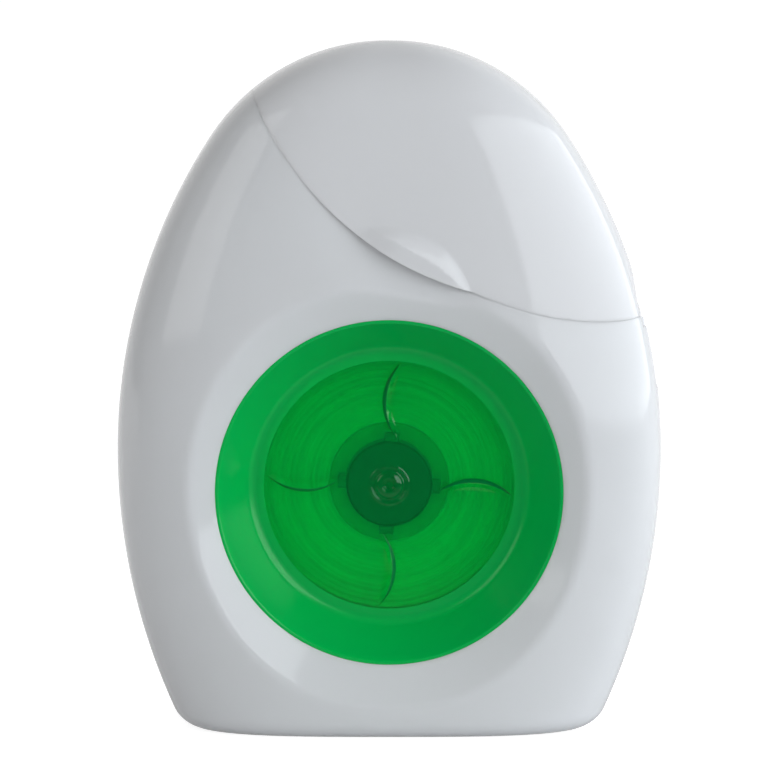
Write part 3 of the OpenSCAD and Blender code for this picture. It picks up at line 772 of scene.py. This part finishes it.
def floss_fibre(name, rings):
    """Waxed white floss. Around a roll its layers show as rings about the spool's axis."""
    material, tree, output = new_material(name)
    surface = tree.nodes.new("ShaderNodeBsdfPrincipled")
    place = tree.nodes.new("ShaderNodeTexCoord")
    centre = tree.nodes.new("ShaderNodeMapping")
    centre.inputs["Location"].default_value = (0, 0, -window_z * mm)
    tree.links.new(place.outputs["Object"], centre.inputs["Vector"])
    apart = tree.nodes.new("ShaderNodeSeparateXYZ")
    tree.links.new(centre.outputs["Vector"], apart.inputs["Vector"])
    radius = tree.nodes.new("ShaderNodeMath")
    radius.operation = "POWER"
    radius.inputs[1].default_value = 0.5
    squares = []
    for axis in ("X", "Z"):
        square = tree.nodes.new("ShaderNodeMath")
        square.operation = "MULTIPLY"
        tree.links.new(apart.outputs[axis], square.inputs[0])
        tree.links.new(apart.outputs[axis], square.inputs[1])
        squares.append(square)
    total = tree.nodes.new("ShaderNodeMath")
    tree.links.new(squares[0].outputs[0], total.inputs[0])
    tree.links.new(squares[1].outputs[0], total.inputs[1])
    tree.links.new(total.outputs[0], radius.inputs[0])
    spot = tree.nodes.new("ShaderNodeCombineXYZ")
    stretch = tree.nodes.new("ShaderNodeMath")
    stretch.operation = "MULTIPLY"
    stretch.inputs[1].default_value = rings
    tree.links.new(radius.outputs[0], stretch.inputs[0])
    tree.links.new(stretch.outputs[0], spot.inputs["X"])
    drift = tree.nodes.new("ShaderNodeVectorMath")
    drift.operation = "MULTIPLY_ADD"
    drift.inputs[1].default_value = (90, 500, 90)
    tree.links.new(centre.outputs["Vector"], drift.inputs[0])
    tree.links.new(spot.outputs["Vector"], drift.inputs[2])
    streak = tree.nodes.new("ShaderNodeTexNoise")
    streak.inputs["Scale"].default_value = 1
    streak.inputs["Detail"].default_value = 4
    tree.links.new(drift.outputs["Vector"], streak.inputs["Vector"])
    tone = tree.nodes.new("ShaderNodeValToRGB")
    tone.color_ramp.elements[0].position = 0.3
    tone.color_ramp.elements[0].color = (0.66, 0.70, 0.66, 1)
    tone.color_ramp.elements[1].position = 0.62
    tone.color_ramp.elements[1].color = (0.88, 0.9, 0.86, 1)
    bump = tree.nodes.new("ShaderNodeBump")
    bump.inputs["Strength"].default_value = 0.6
    bump.inputs["Distance"].default_value = 0.08 * mm
    tree.links.new(streak.outputs["Fac"], tone.inputs["Fac"])
    tree.links.new(tone.outputs["Color"], surface.inputs["Base Color"])
    tree.links.new(streak.outputs["Fac"], bump.inputs["Height"])
    tree.links.new(bump.outputs["Normal"], surface.inputs["Normal"])
    surface.inputs["Roughness"].default_value = 0.5
    surface.inputs["Sheen Weight"].default_value = 0.2
    tree.links.new(surface.outputs["BSDF"], output.inputs["Surface"])
    return material


core = turned([
    (core_in_r, core_low.y, 0), (core_out_r, core_low.y, 0.12), (core_out_r, core_high.y, 0.12),
    (core_in_r, core_high.y, 0.05), (core_in_r, core_low.y, 0)], window_z, steps=96)
piece("card_core", core, card_paper(), "spool", "core_card", "bobbin_core")

layers, layer_groove, groove_at, core_gap = 14, 0.09, 0.42, 0.03
first_layer_r = core_out_r + 0.05
layer = (roll_r - first_layer_r) / layers
face = [(core_out_r + core_gap, roll_high.y, 0)]
for side, y in ((1, roll_high.y), (-1, roll_low.y)):
    rows = range(layers) if side > 0 else range(layers - 1, -1, -1)
    for k in rows:
        r = first_layer_r + layer * (k + 0.5)
        for part, sink in ((-groove_at, layer_groove), (0, 0), (groove_at, layer_groove)):
            face.append((r + side * part * layer, y - side * sink, 0))
face += [(core_out_r + core_gap, roll_low.y, 0), (core_out_r + core_gap, roll_high.y, 0)]
roll = turned(face, window_z, steps=144)
sideways, inwards, waviness, edge_kept = 0.012, 0.06, 0.5, 0.2
for v in roll.verts:
    r = math.hypot(v.co.x, v.co.z - window_z)
    if core_out_r + edge_kept < r < roll_r - edge_kept:
        wander = noise.noise(Vector((v.co.x * waviness, v.co.y, (v.co.z - window_z) * waviness)))
        v.co.x *= 1 + sideways * wander
        v.co.y -= math.copysign(inwards * (1 + wander), v.co.y - roll_mid_y)
floss_white = floss_fibre("floss_white", 4200)
piece("wound_floss", roll, floss_white, "spool", "floss", "floss_roll", sharp=60)


def strand(name, route, r, sides=8):
    """A round strand along a route of centre points, made as a curve and turned into a mesh."""
    curve = bpy.data.curves.new(name, "CURVE")
    curve.dimensions = "3D"
    curve.bevel_depth = r * mm
    curve.bevel_resolution = max(0, sides // 4 - 1)
    curve.use_fill_caps = True
    line = curve.splines.new("POLY")
    line.points.add(len(route) - 1)
    for spot, place in zip(line.points, route):
        spot.co = (*(Vector(place) * mm), 1)
    obj = bpy.data.objects.new(name, curve)
    bpy.context.scene.collection.objects.link(obj)
    mesh = bpy.data.meshes.new_from_object(obj.evaluated_get(bpy.context.evaluated_depsgraph_get()))
    bpy.data.objects.remove(obj)
    bm = bmesh.new()
    bm.from_mesh(mesh)
    bmesh.ops.scale(bm, vec=(1 / mm,) * 3, verts=bm.verts)
    return bm


turn_count, turn_steps, turn_start = 16, 72, math.radians(35)
turn_r = roll_r + floss_d / 2
turn_low, turn_high = turns_low.y + floss_d / 2, turns_high.y - floss_d / 2
wound = []
for k in range(turn_count * turn_steps + 1):
    angle = turn_start + 2 * math.pi * k / turn_steps
    y = turn_low + (turn_high - turn_low) * k / (turn_count * turn_steps)
    wound.append((turn_r * math.cos(angle), y, window_z + turn_r * math.sin(angle)))
outer_turns = strand("outer_turns", wound, floss_d / 2)
piece("outer_turns", outer_turns, floss_white, "spool", "floss", "floss_turns")

# Free floss: one strand that leaves the roll, climbs through the turret's eyelet and bends over to
# the cutter, where its end is caught in the tooth's slit. It keeps the same points as the real route.
strand_route = [
    (10.75, 6.0, 28.9), (10.0, 5.7, 30.1), (9.2, 5.2, 31.2), (8.3, 4.6, 32.3), (7.4, 3.9, 33.4),
    (6.5, 3.1, 34.5), (5.7, 2.2, 35.6), (5.0, 1.3, 36.7), (4.4, 0.5, 37.8), (4.1, 0.1, 38.9),
    (4.0, 0, 40.1), (4.0, 0, 41.4), (4.0, 0, 42.7), (4.0, 0, 44.0), (4.0, 0, 45.2),
    (3.9, 0, 46.3), (3.5, 0, 47.2), (2.8, 0, 47.75), (1.9, 0, 47.9), (0.9, 0, 47.75),
    (0, 0, 47.3), (-0.7, 0, 46.6), (-1.2, 0, 45.7)]


def rounded_route(points, parts=4):
    """The same route with a smooth curve through its points."""
    route = []
    for i in range(len(points) - 1):
        a, b, c, d = (Vector(points[max(0, min(len(points) - 1, j))]) for j in (i - 1, i, i + 1, i + 2))
        for k in range(parts):
            t = k / parts
            route.append(0.5 * (2 * b + (c - a) * t + (2 * a - 5 * b + 4 * c - d) * t**2
                                + (3 * b - a - 3 * c + d) * t**3))
    return route + [Vector(points[-1])]


strand_r = 0.2
loose_end = strand("loose_end", rounded_route(strand_route), strand_r, sides=12)
piece("free_strand", loose_end, floss_white, "case", "floss", "floss_strand")

# Hinge strap: the tab that anchors the lid in the right flank, moulded in one with the lid from the
# same white plastic. It lies in the shells' seat, just below their skin.
strap = bmesh.new()
bmesh.ops.create_grid(strap, x_segments=12, y_segments=16, size=0.5)
for v in strap.verts:
    y = v.co.x * 2 * strap_half
    z = strap_low.z + (v.co.y + 0.5) * (strap_high.z - strap_low.z)
    v.co = on_form(Vector((case_half_w, y, z))) - Vector((strap_out, 0, 0))


def facing_out(bm):
    """Turns a sheet's faces to the hinge side, +X."""
    bmesh.ops.recalc_face_normals(bm, faces=bm.faces)
    if sum(f.normal.x for f in bm.faces) < 0:
        bmesh.ops.reverse_faces(bm, faces=bm.faces)


facing_out(strap)
piece("hinge_tab", strap, lid_white, "case", "lid_white", "hinge_strap", solid=strap_t, soft_edge=0.12)

# Hinge film: the thin living hinge between the strap and the lid, of the same moulding,
# made here as a flat sheet.
web_low, web_high = (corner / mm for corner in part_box("hinge_web"))
web = bmesh.new()
bmesh.ops.create_grid(web, x_segments=10, y_segments=12, size=0.5)
for v in web.verts:
    y = v.co.x * (web_high.y - web_low.y)
    z = web_low.z + (v.co.y + 0.5) * (web_high.z - web_low.z)
    v.co = Vector((web_high.x, y, z))
facing_out(web)
bmesh.ops.scale(web, vec=(mm, mm, mm), verts=web.verts)
bmesh.ops.solidify(web, geom=web.faces[:], thickness=(web_high.x - web_low.x) * mm)
web_mesh = bpy.data.meshes.new("hinge_film")
web.to_mesh(web_mesh)
web.free()
web_mesh.materials.append(lid_white)
film = bpy.data.objects.new("hinge_film", web_mesh)
bpy.context.scene.collection.objects.link(film)
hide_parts("hinge_web")
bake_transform(film)

# Deck: the white insert that closes the spool's room, with the collar that the lid grips and the
# turret for the floss. It is satin moulded plastic, and its CAD shape is the real one's.
deck_white = plastic("deck_white", (0.72, 0.73, 0.74), 0.3)
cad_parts["deck"].data.materials.clear()
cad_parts["deck"].data.materials.append(deck_white)

# Cutter: the small tooth on the turret, stamped and bent from bright steel sheet, whose fine rolling
# lines run upright. Its CAD shape is the real one's.
cutter_steel, tree, output = new_material("cutter_steel")
steel = tree.nodes.new("ShaderNodeBsdfPrincipled")
steel.inputs["Metallic"].default_value = 1.0
steel.inputs["Base Color"].default_value = (0.62, 0.63, 0.65, 1)
place = tree.nodes.new("ShaderNodeTexCoord")
rolled = tree.nodes.new("ShaderNodeMapping")
rolled.inputs["Scale"].default_value = (6000, 6000, 300)
lines = tree.nodes.new("ShaderNodeTexNoise")
lines.inputs["Scale"].default_value = 1
lines.inputs["Detail"].default_value = 3
rough = tree.nodes.new("ShaderNodeMapRange")
rough.inputs["To Min"].default_value = 0.22
rough.inputs["To Max"].default_value = 0.42
bump = tree.nodes.new("ShaderNodeBump")
bump.inputs["Strength"].default_value = 0.3
bump.inputs["Distance"].default_value = 0.004 * mm
tree.links.new(place.outputs["Object"], rolled.inputs["Vector"])
tree.links.new(rolled.outputs["Vector"], lines.inputs["Vector"])
tree.links.new(lines.outputs["Fac"], rough.inputs["Value"])
tree.links.new(rough.outputs["Result"], steel.inputs["Roughness"])
tree.links.new(lines.outputs["Fac"], bump.inputs["Height"])
tree.links.new(bump.outputs["Normal"], steel.inputs["Normal"])
tree.links.new(steel.outputs["BSDF"], output.inputs["Surface"])
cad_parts["cutter"].data.materials.clear()
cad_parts["cutter"].data.materials.append(cutter_steel)
